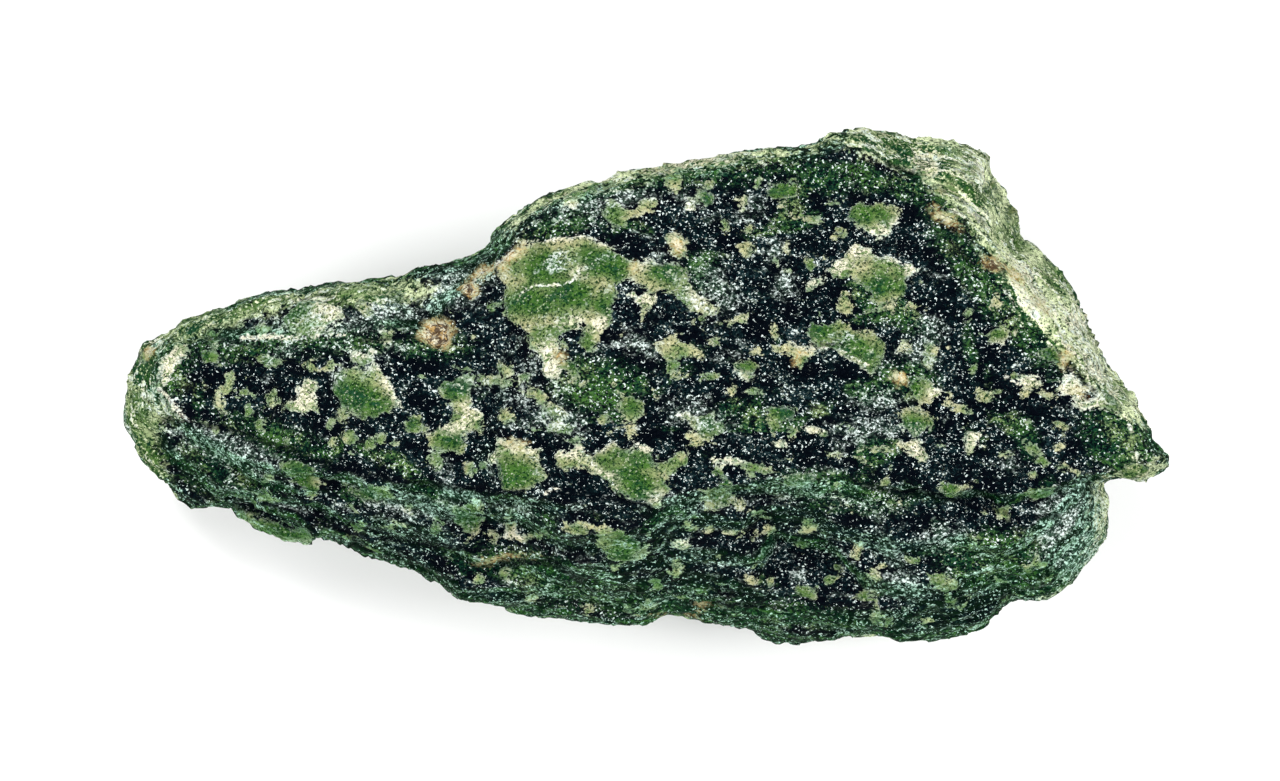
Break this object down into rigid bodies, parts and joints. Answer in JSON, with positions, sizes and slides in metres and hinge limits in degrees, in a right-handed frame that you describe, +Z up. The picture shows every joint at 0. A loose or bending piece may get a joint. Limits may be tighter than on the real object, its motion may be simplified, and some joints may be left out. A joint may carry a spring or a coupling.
{
  "type": "raw jade boulder",
  "caption": "Rough, unpolished block of foliated green jade that tapers to a thin tail, with ledged flanks, a short spur and a broken flat face to rest on.",
  "frame": {"origin": "centre of the stone's bounding box, in the plane of the flat face it rests on", "axes": "+X along its length from the thin tail to the spur, +Y to the back, away from the broad ledged flank, +Z up from the face it rests on to the broad mottled face"},
  "size_m": [0.12, 0.0596, 0.038],
  "materials": {
    "raw_jade": "rough broken surface, near-black ground mottled with green and cream"
  },
  "bodies": {
    "root": {"jade_boulder": "raw_jade"}
  },
  "joints": []
}
